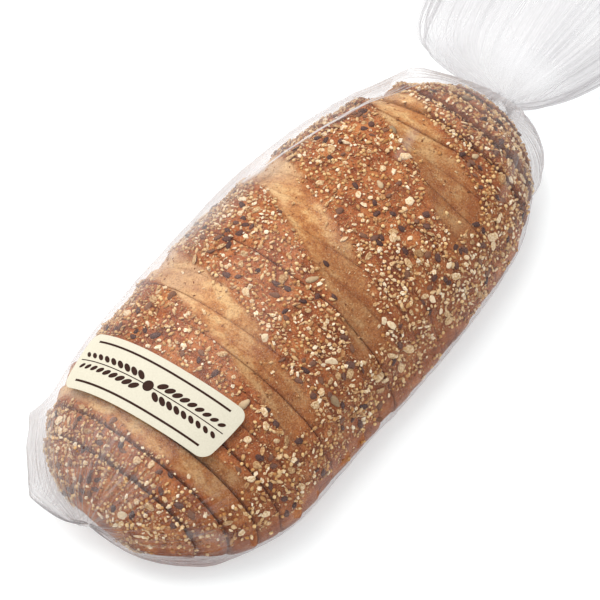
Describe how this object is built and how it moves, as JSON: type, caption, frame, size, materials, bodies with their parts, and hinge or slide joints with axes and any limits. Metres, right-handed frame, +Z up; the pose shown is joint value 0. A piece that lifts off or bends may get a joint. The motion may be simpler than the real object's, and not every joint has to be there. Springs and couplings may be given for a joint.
{
  "type": "bagged sliced loaf of bread",
  "caption": "Sliced oval loaf with a seeded crust and four slashes, in a clear film bag with a gathered neck, flared tail and paper label.",
  "frame": {"origin": "middle of the bounding box's bottom, on the surface that the loaf rests on", "axes": "+X along the loaf towards the gathered neck and tail of the bag, +Y to the side that the label wraps down, +Z up"},
  "size_m": [0.422, 0.1546, 0.0686],
  "materials": {
    "film_and_bread": "clear thin film over a baked, seeded crust",
    "label_paper": "smooth uncoated cream paper"
  },
  "bodies": {
    "root": {"bag": "film_and_bread", "label": "label_paper"}
  },
  "joints": []
}
